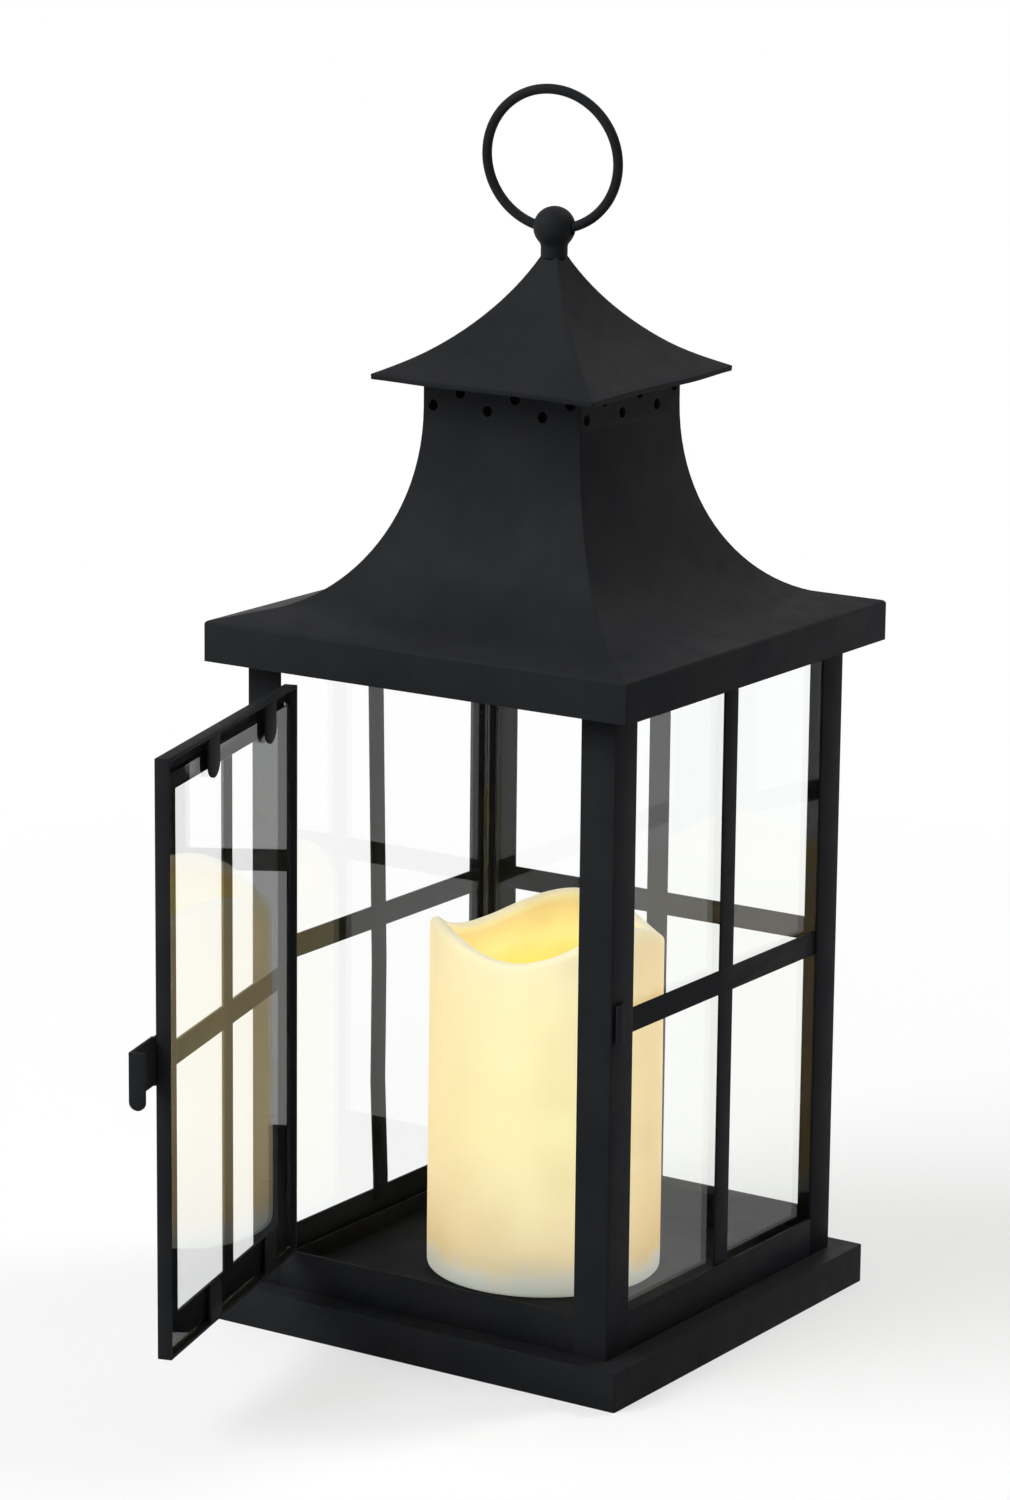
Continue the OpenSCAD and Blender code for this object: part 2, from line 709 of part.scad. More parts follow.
module battery_case() {
    case_r = cavity_r - case_gap;
    post_r = 2;
    color(white) difference() {
        union() {
            translate([0, 0, plate_z]) cylinder(r = case_r, h = plate_t);
            block([-box_l / 2, -box_w / 2, plate_z], [box_l / 2, box_w / 2, box_top]);
            for (s = [-1, 1]) translate([s * (board_r - post_r - 1), 0, box_top])
                cylinder(r = post_r, h = board_up);
        }
        block([-box_in_l / 2, -box_in_w / 2, plate_z - cut], [box_in_l / 2, box_in_w / 2, box_ceiling]);
        block([-box_l / 2, -box_w / 2, plate_z - cut],
              [box_l / 2 + tongue_l, box_w / 2, plate_z + cover_rebate]);
        translate([screw_x, 0, plate_z - cut]) cylinder(r = screw_r + pin_gap, h = plate_t + 2 * cut);
        translate([0, switch_y, plate_z + plate_t / 2])
            cube([slot_l, knob_d + 2 * slide_gap, plate_t + 2 * cut], center = true);
    }
}

module battery_cover() {
    color(white) difference() {
        block([-box_l / 2 + case_gap, -box_w / 2 + case_gap, cover_z],
              [box_l / 2 + tongue_l - case_gap, box_w / 2 - case_gap, cover_z + cover_t]);
        translate([screw_x, 0, cover_z - cut]) cylinder(r = screw_r + pin_gap, h = cover_t + 2 * cut);
    }
}

module cover_screw() {
    head_h = 0.9;
    color(steel) translate([screw_x, 0, cover_z]) {
        cylinder(r = screw_r, h = plate_t - 2 * cover_seat);
        translate([0, 0, -head_h]) cylinder(r = 2 * screw_r, h = head_h);
    }
}

module battery_cells() {
    nub_h = 1;
    nub_r = 2.7;
    color("goldenrod") for (s = [-1, 1]) translate([s * (cell_r + case_gap / 2), 0, cell_z]) {
        cylinder(r = cell_r, h = cell_l - nub_h);
        translate([0, 0, cell_l - nub_h]) cylinder(r = nub_r, h = nub_h);
    }
}

// A strip under the cells and a conical spring over each of them
module battery_contacts() {
    half_l = box_in_l / 2 - 1;
    spring_r0 = 2.5;
    spring_r1 = 4;
    color(steel) {
        block([-half_l, -contact_w / 2, contact_z], [half_l, contact_w / 2, contact_z + contact_t]);
        for (s = [-1, 1]) translate([s * (cell_r + case_gap / 2), 0, cell_z + cell_l])
            cylinder(r1 = spring_r0, r2 = spring_r1, h = spring_h);
    }
}

module lamp_board() {
    color("darkgreen") translate([0, 0, board_z]) cylinder(r = board_r, h = board_t);
}

module lamp() {
    flange_h = 1;
    flange_r = lamp_r + 0.4;
    dome_z = 5.5;
    color("gold") translate([0, 0, lamp_z]) {
        cylinder(r = flange_r, h = flange_h);
        cylinder(r = lamp_r, h = dome_z);
        translate([0, 0, dome_z]) sphere(r = lamp_r, $fn = 32);
    }
}

module switch_housing() {
    wall = 1;
    house_l = shoe_l + switch_travel + 2 * (wall + slide_gap);
    house_w = shoe_w + 2 * (wall + slide_gap);
    house_h = shoe_gap + shoe_h + slide_gap + wall;
    color(white) translate([0, switch_y, plate_top]) difference() {
        translate([-house_l / 2, -house_w / 2, 0]) cube([house_l, house_w, house_h]);
        translate([-house_l / 2 + wall, -house_w / 2 + wall, -cut])
            cube([house_l - 2 * wall, house_w - 2 * wall, house_h - wall + cut]);
    }
}

// Knob in the plate's slot with a wider shoe above the plate, stored switched on
module switch_slider() {
    knob_out = 0.6;
    color("dimgray") translate([switch_travel / 2, switch_y, 0]) {
        block([-knob_w / 2, -knob_d / 2, plate_z - knob_out], [knob_w / 2, knob_d / 2, plate_top + 2 * shoe_gap]);
        block([-shoe_l / 2, -shoe_w / 2, plate_top + shoe_gap],
              [shoe_l / 2, shoe_w / 2, plate_top + shoe_gap + shoe_h]);
    }
}

base_tray();
post(true, false);  // post_front_left
post(false, false);  // post_front_right
post(true, true);  // post_back_left
post(false, true);  // post_back_right
bottom_rail(0);  // sill_front
bottom_rail(1);  // rail_right
bottom_rail(2);  // rail_back
bottom_rail(3);  // rail_left
header_rail(0);  // header_front
header_rail(1);  // header_right
header_rail(2);  // header_back
header_rail(3);  // header_left
pane(1);  // pane_right
pane(2);  // pane_back
pane(3);  // pane_left
bars(1);  // bars_right
bars(2);  // bars_back
bars(3);  // bars_left
roof_panel(0);  // roof_front
roof_panel(1);  // roof_right
roof_panel(2);  // roof_back
roof_panel(3);  // roof_left
cap_roof();
cap_bridge();
finial_ball();
finial_stud();
stud_nut();
ring_handle();
post_knuckles();
hinge_pins();
latch_keeper();
door_frame();
door_glass();
door_bars();
door_clips();
door_knuckles();
latch_tab();
candle_wax();
battery_case();
battery_cover();
cover_screw();
battery_cells();
battery_contacts();
lamp_board();
lamp();
switch_housing();
switch_slider();
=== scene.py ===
import math

import bmesh
import bpy
from mathutils import Matrix, Vector, noise


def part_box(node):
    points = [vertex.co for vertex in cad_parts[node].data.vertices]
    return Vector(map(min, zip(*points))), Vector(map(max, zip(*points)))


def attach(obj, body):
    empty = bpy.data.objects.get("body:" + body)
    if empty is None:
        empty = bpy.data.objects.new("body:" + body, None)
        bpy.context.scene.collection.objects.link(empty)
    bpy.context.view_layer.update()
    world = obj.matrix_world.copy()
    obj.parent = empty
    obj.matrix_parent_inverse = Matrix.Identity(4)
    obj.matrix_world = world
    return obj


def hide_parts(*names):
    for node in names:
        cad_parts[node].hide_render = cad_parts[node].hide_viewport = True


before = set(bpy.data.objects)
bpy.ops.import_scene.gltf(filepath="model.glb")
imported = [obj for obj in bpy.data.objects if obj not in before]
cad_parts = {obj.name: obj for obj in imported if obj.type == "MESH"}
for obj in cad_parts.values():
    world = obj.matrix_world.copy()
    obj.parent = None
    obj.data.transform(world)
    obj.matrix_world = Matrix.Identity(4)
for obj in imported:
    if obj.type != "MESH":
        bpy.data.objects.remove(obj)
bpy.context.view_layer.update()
mm = 0.001
print("frame loaded")


# the camera stands where the photograph was taken from

cameraPlace = {
    "azimuth": 33.4043,
    "elevation": 13.0039,
    "roll": 0.586,
    "location": (0.85028, -1.31410, 0.54427),
    "lens": 121.73,
}


def placeCamera(place):
    azimuth, elevation, roll = (math.radians(place[key]) for key in ("azimuth", "elevation", "roll"))
    back = Vector((math.sin(azimuth) * math.cos(elevation), -math.cos(azimuth) * math.cos(elevation),
                   math.sin(elevation)))
    right = Vector((math.cos(azimuth), math.sin(azimuth), 0))
    up = back.cross(right)
    across = right * math.cos(roll) + up * math.sin(roll)
    upright = up * math.cos(roll) - right * math.sin(roll)
    bpy.ops.object.camera_add()
    camera = bpy.context.object
    camera.name = "photoCamera"
    camera.rotation_mode = "QUATERNION"
    camera.rotation_quaternion = Matrix((across, upright, back)).transposed().to_quaternion()
    camera.location = place["location"]
    camera.data.lens = place["lens"]
    camera.data.sensor_width = 36
    camera.data.sensor_fit = "AUTO"
    bpy.context.scene.camera = camera


placeCamera(cameraPlace)
print("camera placed")


# small helpers for modelling by hand

def pick(piece):
    bpy.ops.object.select_all(action="DESELECT")
    piece.select_set(True)
    bpy.context.view_layer.objects.active = piece


def startEditing(piece):
    pick(piece)
    bpy.ops.object.mode_set(mode="EDIT")
    bpy.ops.mesh.select_all(action="DESELECT")


def stopEditing():
    bpy.ops.object.mode_set(mode="OBJECT")


def selectWhere(kind, test):  # kind is verts, edges or faces of the piece that is being edited
    piece = bpy.context.object
    bpy.ops.mesh.select_mode(type={"verts": "VERT", "edges": "EDGE", "faces": "FACE"}[kind])
    bpy.ops.mesh.select_all(action="DESELECT")
    mesh = bmesh.from_edit_mesh(piece.data)
    for part in getattr(mesh, kind):
        if test(part):
            part.select_set(True)
    mesh.select_flush_mode()
    bmesh.update_edit_mesh(piece.data)


def edgeMiddle(edge):
    return (edge.verts[0].co + edge.verts[1].co) / 2


def edgeAlong(edge):
    return (edge.verts[1].co - edge.verts[0].co).normalized()


def applyModifier(piece, kind, **settings):
    pick(piece)
    modifier = piece.modifiers.new(kind.title(), kind)
    for key, value in settings.items():
        setattr(modifier, key, value)
    bpy.ops.object.modifier_apply(modifier=modifier.name)


def mergeAndFaceOut(piece, distance=1e-6):
    startEditing(piece)
    bpy.ops.mesh.select_all(action="SELECT")
    bpy.ops.mesh.remove_doubles(threshold=distance)
    bpy.ops.mesh.normals_make_consistent(inside=False)
    stopEditing()


def shadeByAngle(piece, degrees=32):
    pick(piece)
    bpy.ops.object.shade_smooth_by_angle(angle=math.radians(degrees))


def joinPieces(first, *others):
    bpy.ops.object.select_all(action="DESELECT")
    for piece in (first, *others):
        piece.select_set(True)
    bpy.context.view_layer.objects.active = first
    bpy.ops.object.join()
    return first


def applyPlace(piece):
    pick(piece)
    bpy.ops.object.transform_apply(location=True, rotation=True, scale=True)


def cutAway(piece, cutter):
    applyModifier(piece, "BOOLEAN", object=cutter, operation="DIFFERENCE", solver="EXACT")
    bpy.data.objects.remove(cutter)


def settle(piece, name, body, slot, material, *nodes):
    applyPlace(piece)
    piece.name = name
    piece.data.name = name
    piece.data.materials.clear()
    piece.data.materials.append(material)
    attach(piece, body)
    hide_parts(*nodes)
    return piece


# Draws the selected loose loop on to a new height and half width or radius
def nextRing(height, half, before):
    bpy.ops.mesh.extrude_region_move(TRANSFORM_OT_translate={"value": (0, 0, height - before[0])})
    scale = half / before[1]
    bpy.ops.transform.resize(value=(scale, scale, 1), center_override=(0, 0, 0))
    return height, half


# A shell drawn up ring by ring, from a square where sides is 4 and from a circle otherwise
def drawShell(rings, sides=4):
    height, half = rings[0]
    if sides == 4:
        bpy.ops.mesh.primitive_plane_add(size=2 * half, location=(0, 0, height))
    else:
        bpy.ops.mesh.primitive_circle_add(vertices=sides, radius=half, location=(0, 0, height))
    piece = bpy.context.object
    applyPlace(piece)
    startEditing(piece)
    if sides == 4:
        bpy.ops.mesh.select_all(action="SELECT")
        bpy.ops.mesh.delete(type="ONLY_FACE")
    bpy.ops.mesh.select_mode(type="EDGE")
    bpy.ops.mesh.select_all(action="SELECT")
    before = rings[0]
    for height, half in rings[1:]:
        before = nextRing(height, half, before)
    stopEditing()
    mergeAndFaceOut(piece)
    return piece


# materials

def newMaterial(name):
    material = bpy.data.materials.new(name)
    material.use_nodes = True
    tree = material.node_tree
    return material, tree, tree.nodes["Principled BSDF"]


def addNode(tree, kind, inputs=None, **settings):
    node = tree.nodes.new(kind)
    for key, value in settings.items():
        setattr(node, key, value)
    for key, value in (inputs or {}).items():
        socket = node.inputs[key]
        if isinstance(value, bpy.types.NodeSocket):
            tree.links.new(value, socket)
        else:
            socket.default_value = value
    return node


def objectPlace(tree):
    return addNode(tree, "ShaderNodeTexCoord").outputs["Object"]


def noiseAt(tree, place, scale, detail=3.0, roughness=0.55):
    return addNode(tree, "ShaderNodeTexNoise", {"Vector": place, "Scale": scale, "Detail": detail,
                                                "Roughness": roughness}).outputs["Fac"]


def spread(tree, value, fromLow, fromHigh, low, high):
    return addNode(tree, "ShaderNodeMapRange", {"Value": value, "From Min": fromLow, "From Max": fromHigh,
                                                "To Min": low, "To Max": high}).outputs["Result"]


def mathNode(tree, operation, *values):
    inputs = dict(enumerate(values))
    return addNode(tree, "ShaderNodeMath", inputs, operation=operation).outputs[0]


def blendColours(tree, factor, first, second, kind="MIX"):
    node = addNode(tree, "ShaderNodeMix", data_type="RGBA", blend_type=kind)
    for socket, value in ((node.inputs[0], factor), (node.inputs[6], first), (node.inputs[7], second)):
        if isinstance(value, bpy.types.NodeSocket):
            tree.links.new(value, socket)
        else:
            socket.default_value = (*value, 1) if isinstance(value, tuple) else value
    return node.outputs[2]


def addBump(tree, shader, height, distance, strength=1.0):
    bump = addNode(tree, "ShaderNodeBump", {"Height": height, "Distance": distance, "Strength": strength})
    tree.links.new(bump.outputs["Normal"], shader.inputs["Normal"])
    return bump


blackCoat = {
    "dark": (0.0112, 0.0120, 0.0138),
    "pale": (0.0142, 0.0147, 0.0160),
    "dust": (0.0220, 0.0195, 0.0160),
    "dustAmount": 0.12,
    "roughness": (0.46, 0.58),
    "specular": 0.024,
    "blotchScale": 45,
    "dustScale": 160,
    "rubScale": 120,
    "grainScale": 900,
    "waveScale": 35,
    "waveShare": 3.0,
    "grainDepth": 0.02 * mm,
}


def makeBlackCoat(name, coat):
    material, tree, shader = newMaterial(name)
    place = objectPlace(tree)
    blotches = noiseAt(tree, place, coat["blotchScale"], 4)
    colour = blendColours(tree, spread(tree, blotches, 0.35, 0.65, 0, 1), coat["dark"], coat["pale"])
    normal = addNode(tree, "ShaderNodeNewGeometry").outputs["Normal"]
    facing = addNode(tree, "ShaderNodeSeparateXYZ", {"Vector": normal}).outputs["Z"]
    lying = spread(tree, facing, 0.2, 1.0, 0, coat["dustAmount"])
    patches = spread(tree, noiseAt(tree, place, coat["dustScale"], 5), 0.4, 0.7, 0.4, 1)
    dusty = mathNode(tree, "MULTIPLY", lying, patches)
    tree.links.new(blendColours(tree, dusty, colour, coat["dust"]), shader.inputs["Base Color"])
    roughness = spread(tree, noiseAt(tree, place, coat["rubScale"], 4), 0.3, 0.7, *coat["roughness"])
    tree.links.new(roughness, shader.inputs["Roughness"])
    shader.inputs["Specular IOR Level"].default_value = coat["specular"]
    grain = noiseAt(tree, place, coat["grainScale"], 2)
    wave = noiseAt(tree, place, coat["waveScale"], 1)
    relief = mathNode(tree, "MULTIPLY_ADD", wave, coat["waveShare"], grain)
    addBump(tree, shader, relief, coat["grainDepth"])
    return material


clearGlass = {
    "tint": (0.986, 0.996, 0.988),
    "index": 1.32,  # less than real glass, whose reflections would be too strong in this white surround
    "smear": (0.0, 0.015),
    "smearScale": 30,
}


def makeGlass(name, glass):
    material, tree, shader = newMaterial(name)
    shader.inputs["Base Color"].default_value = (*glass["tint"], 1)
    shader.inputs["Transmission Weight"].default_value = 1
    shader.inputs["IOR"].default_value = glass["index"]
    streaks = noiseAt(tree, objectPlace(tree), glass["smearScale"], 3)
    tree.links.new(spread(tree, streaks, 0.5, 0.75, *glass["smear"]), shader.inputs["Roughness"])
    return material


waxLook = {
    "lit": (0.80, 0.71, 0.46),
    "unlit": (0.72, 0.75, 0.66),
    "glowStops": [  # share of the height above the unlit foot, and the painted glow of the light that comes through there
        (0.00, (0.20, 0.25, 0.23)),
        (0.07, (0.32, 0.32, 0.27)),
        (0.16, (0.53, 0.43, 0.24)),
        (0.50, (0.51, 0.47, 0.20)),
        (0.82, (0.49, 0.45, 0.21)),
        (1.00, (0.45, 0.43, 0.27)),
    ],
    "bandTop": 23 * mm,
    "bandScale": 85,
    "bandRag": 12 * mm,
    "bandBlend": 6 * mm,
    "glowFoot": 15 * mm,
    "rimTop": 131 * mm,
    "warmGlow": (0.46, 0.28, 0.07),
    "warmTurn": 33,  # direction of the side where a warmer glow is painted
    "warmFrom": 0.35,
    "warmBehind": 0.6,  # and how much of that painted warm glow the opposite side has
    "radius": 37.3 * mm,
    "cupPaintedLampLight": (0.50, 0.42, 0.13),
    "paintedGlowMottle": (0.86, 0.83, 0.78),
    "paintedGlowMottleScale": 42,
    "cupFrom": (0.44, 0.52),  # share of the way over the rim where the cup's painted lamp light takes over
    "rimFrom": (0.02, 0.25),
    "scatter": 0.2,
    "scatterReach": (10 * mm, 6 * mm, 3 * mm),
    "specular": 0.35,
    "roughness": (0.42, 0.60),
    "rubScale": 90,
    "dentScale": 70,
    "dentDepth": 0.2 * mm,
    "rimStops": [  # painted glow of the lamp, from the outside (0) over the rim to the bottom of the cup (1)
        (0.00, (0.42, 0.39, 0.22)),
        (0.30, (0.42, 0.42, 0.33)),
        (0.46, (0.50, 0.44, 0.28)),
        (0.56, (0.64, 0.47, 0.22)),
        (0.70, (0.66, 0.61, 0.26)),
        (0.90, (0.62, 0.57, 0.10)),
    ],
}


def colourRamp(tree, share, stops):
    ramp = addNode(tree, "ShaderNodeValToRGB", {"Fac": share})
    while len(ramp.color_ramp.elements) < len(stops):
        ramp.color_ramp.elements.new(0.5)
    for element, (position, shade) in zip(ramp.color_ramp.elements, stops):
        element.position = position
        element.color = (*shade, 1)
    return ramp.outputs["Color"]


def makeWax(name, wax):
    material, tree, shader = newMaterial(name)
    place = objectPlace(tree)
    height = addNode(tree, "ShaderNodeSeparateXYZ", {"Vector": place}).outputs["Z"]
    blots = noiseAt(tree, place, wax["bandScale"], 5)
    ragged = mathNode(tree, "MULTIPLY_ADD", blots, wax["bandRag"], height)
    litFrom = spread(tree, ragged, wax["bandTop"], wax["bandTop"] + wax["bandBlend"], 0, 1)
    overRim = addNode(tree, "ShaderNodeAttribute", attribute_name="overRim").outputs["Fac"]
    outside = blendColours(tree, litFrom, wax["unlit"], wax["lit"])
    # Inside the cup the base colour is yellowed with painted light from the lamp in the well
    inCup = spread(tree, overRim, *wax["cupFrom"], 0, 1)
    tree.links.new(blendColours(tree, inCup, outside, wax["cupPaintedLampLight"]), shader.inputs["Base Color"])
    # The wax's emission is painted glow: it stands in for the inner lamp's light shining through the wax,
    # which is itself no lamp
    share = spread(tree, ragged, wax["glowFoot"], wax["rimTop"], 0, 1)
    # painted warmer glow on one side of the candle and, weaker, on the opposite side
    turn = math.radians(wax["warmTurn"])
    sideways = addNode(tree, "ShaderNodeVectorMath", {0: place, 1: (math.cos(turn), math.sin(turn), 0)},
                       operation="DOT_PRODUCT").outputs["Value"]
    near, far = wax["warmFrom"] * wax["radius"], wax["radius"]
    warm = mathNode(tree, "MAXIMUM", spread(tree, sideways, near, far, 0, 1),
                    spread(tree, sideways, -near, -far, 0, wax["warmBehind"]))
    warm = mathNode(tree, "MULTIPLY", warm, litFrom)
    outsideGlow = blendColours(tree, warm, colourRamp(tree, share, wax["glowStops"]), wax["warmGlow"])
    nearRim = spread(tree, overRim, *wax["rimFrom"], 0, 1)
    glow = blendColours(tree, nearRim, outsideGlow, colourRamp(tree, overRim, wax["rimStops"]))
    # painted unevenness of the glow: darker patches multiplied into the emission colour
    paintedGlowPatches = spread(tree, noiseAt(tree, place, wax["paintedGlowMottleScale"], 4), 0.42, 0.66, 0, 1)
    glow = blendColours(tree, paintedGlowPatches, glow, wax["paintedGlowMottle"], "MULTIPLY")
    tree.links.new(glow, shader.inputs["Emission Color"])
    shader.inputs["Emission Strength"].default_value = 1
    shader.inputs["Subsurface Weight"].default_value = wax["scatter"]
    shader.inputs["Subsurface Radius"].default_value = wax["scatterReach"]
    shader.inputs["Subsurface Scale"].default_value = 1.0
    shader.inputs["Specular IOR Level"].default_value = wax["specular"]
    roughness = spread(tree, noiseAt(tree, place, wax["rubScale"], 3), 0.3, 0.7, *wax["roughness"])
    tree.links.new(roughness, shader.inputs["Roughness"])
    addBump(tree, shader, noiseAt(tree, place, wax["dentScale"], 3), wax["dentDepth"], 0.6)
    return material


plainLook = {
    "shade": 0.82,  # of the colour, in its darker patches
    "shadeScale": 150,
    "wear": 0.15,
    "wearScale": 200,
    "grainScale": 400,
    "grainDepth": 0.02 * mm,
}


def makePlain(name, colour, roughness, metallic, look):
    material, tree, shader = newMaterial(name)
    place = objectPlace(tree)
    darker = tuple(look["shade"] * part for part in colour)
    shaded = blendColours(tree, noiseAt(tree, place, look["shadeScale"], 3), darker, colour)
    tree.links.new(shaded, shader.inputs["Base Color"])
    smooth, rough = roughness * (1 - look["wear"]), roughness * (1 + look["wear"])
    worn = spread(tree, noiseAt(tree, place, look["wearScale"], 3), 0.3, 0.7, smooth, rough)
    tree.links.new(worn, shader.inputs["Roughness"])
    shader.inputs["Metallic"].default_value = metallic
    addBump(tree, shader, noiseAt(tree, place, look["grainScale"], 2), look["grainDepth"])
    return material


coatMaterial = makeBlackCoat("satinBlackCoat", blackCoat)
glassMaterial = makeGlass("windowGlass", clearGlass)
waxMaterial = makeWax("glowingWax", waxLook)
print("materials made")


# folded sheet metal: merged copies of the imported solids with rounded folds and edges

sheetMetal = {
    "plinth": {"node": "base_tray", "fold": 0.9},
    "postFrontLeft": {"node": "post_front_left", "fold": 0.6},
    "postFrontRight": {"node": "post_front_right", "fold": 0.6},
    "postBackLeft": {"node": "post_back_left", "fold": 0.6},
    "postBackRight": {"node": "post_back_right", "fold": 0.6},
    "sillFront": {"node": "sill_front"},
    "railRight": {"node": "rail_right"},
    "railBack": {"node": "rail_back"},
    "railLeft": {"node": "rail_left"},
    "headerFront": {"node": "header_front"},
    "headerRight": {"node": "header_right"},
    "headerBack": {"node": "header_back"},
    "headerLeft": {"node": "header_left"},
    "barsRight": {"node": "bars_right", "edge": 0.12},
    "barsBack": {"node": "bars_back", "edge": 0.12},
    "barsLeft": {"node": "bars_left", "edge": 0.12},
    "postKnuckles": {"node": "post_knuckles", "edge": 0.12},
    "hingePins": {"node": "hinge_pins", "edge": 0.12},
    "latchKeeper": {"node": "latch_keeper", "edge": 0.12},
    "capBridge": {"node": "cap_bridge"},
    "doorFrame": {"node": "door_frame", "fold": 0.5, "body": "door"},
    "doorBars": {"node": "door_bars", "edge": 0.12, "body": "door"},
    "doorClips": {"node": "door_clips", "edge": 0.15, "body": "door"},
    "doorKnuckles": {"node": "door_knuckles", "edge": 0.12, "body": "door"},
    "latchTab": {"node": "latch_tab", "edge": 0.2, "body": "door"},
}
sheetEdge = 0.15
barReach = 4.5  # half the width of the strip that holds the upright bar
leftBarBends = [  # height, and how far the thin upright bar of the left side is bent sideways there
    (20, 2.5), (29, 2.4), (49, 1.3), (63, 0.6), (76, 0.8), (103, 1.1), (144, 0.0), (171, -0.7), (191, -1.2),
    (218, -1.9),
]
doorPlace = {"hinge": (-54.975, -70.5), "open": 74.3, "half": 54.25, "face": -67.9, "ends": (26.3, 210.1)}


def mergedCopy(node):
    piece = bpy.data.objects.new(node + "Copy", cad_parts[node].data.copy())
    bpy.context.scene.collection.objects.link(piece)
    startEditing(piece)
    bpy.ops.mesh.select_all(action="SELECT")
    bpy.ops.mesh.remove_doubles(threshold=1e-6)
    bpy.ops.mesh.dissolve_limited(angle_limit=math.radians(0.4))
    stopEditing()
    return piece


# The outer folds of the body's sheets stand on the corner of the piece's own box that is furthest out
def bodyFold(edge, low, high):
    middle = edgeMiddle(edge)
    reach = [max(abs(low[axis]), abs(high[axis])) for axis in range(2)]
    onCorner = all(abs(abs(middle[axis]) - reach[axis]) < 2e-5 for axis in range(2))
    return onCorner and abs(edgeAlong(edge).z) > 0.99


# The door's folds run round the edge of its front face
def doorFold(edge, place):
    hinge = Vector((*place["hinge"], 0)) * mm
    turn = Matrix.Rotation(math.radians(place["open"]), 3, "Z")
    middle = (turn @ (edgeMiddle(edge) - hinge) + hinge) / mm
    onSide = abs(abs(middle.x) - place["half"]) < 0.02
    onEnd = min(abs(middle.z - end) for end in place["ends"]) < 0.02
    return abs(middle.y - place["face"]) < 0.02 and (onSide or onEnd)


def bendAt(height, bends):
    for (low, first), (high, second) in zip(bends, bends[1:]):
        if height <= high:
            return first + (second - first) * (height - low) / (high - low)
    return bends[-1][1]


def bendUprightBar(piece, bends, reach):
    startEditing(piece)
    for height, _ in bends[1:-1]:
        bpy.ops.mesh.select_all(action="SELECT")
        bpy.ops.mesh.bisect(plane_co=(0, 0, height * mm), plane_no=(0, 0, 1))
    stopEditing()
    for vertex in piece.data.vertices:
        if abs(vertex.co.y) < reach * mm:
            vertex.co.y += bendAt(vertex.co.z / mm, bends) * mm


def makeSheetPiece(name, sizes):
    body = sizes.get("body", "frame")
    piece = mergedCopy(sizes["node"])
    if name == "barsLeft":
        bendUprightBar(piece, leftBarBends, barReach)
    if "fold" in sizes:
        low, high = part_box(sizes["node"])
        startEditing(piece)
        if body == "door":
            selectWhere("edges", lambda edge: doorFold(edge, doorPlace))
        else:
            selectWhere("edges", lambda edge: bodyFold(edge, low, high))
        bpy.ops.mesh.bevel(offset=sizes["fold"] * mm, segments=3, affect="EDGES")
        stopEditing()
    applyModifier(piece, "BEVEL", width=sizes.get("edge", sheetEdge) * mm, segments=2, limit_method="ANGLE",
                  angle_limit=math.radians(38), use_clamp_overlap=True, harden_normals=False)
    shadeByAngle(piece, 34)
    return settle(piece, name, body, "black_metal", coatMaterial, sizes["node"])


for pieceName, pieceSizes in sheetMetal.items():
    makeSheetPiece(pieceName, pieceSizes)
print("sheet metal made")


# bell roof and its vented collar

roofSizes = {
    "rise": 66.0,
    "collarHalf": 29.0,
    "flareSlope": 12.5,
    "flare": 15.5,
    "foot": 18.3,
    "neck": 34.6,
    "steps": 24,
    "fasciaDrop": 0.4,
    "collar": 15.6,
    "sheet": 0.8,
    "ridge": 0.5,
    "fold": 0.9,
    "ventRadius": 1.75,
    "ventSides": 28,
    "ventPitch": 10.1,
    "ventCount": 6,
    "ventLow": 0.7,
    "ventStep": 4.7,
}


def onHip(vertex):
    return abs(abs(vertex.co.x) - abs(vertex.co.y)) < 1e-6


def hipEdge(edge):
    middle = edgeMiddle(edge)
    return all(onHip(vertex) for vertex in edge.verts) and abs(abs(middle.x) - abs(middle.y)) < 1e-6


def curvePoint(handles, t):
    first, second, third, last = handles
    rest = 1 - t
    return rest ** 3 * first + 3 * rest ** 2 * t * second + 3 * rest * t * t * third + t ** 3 * last


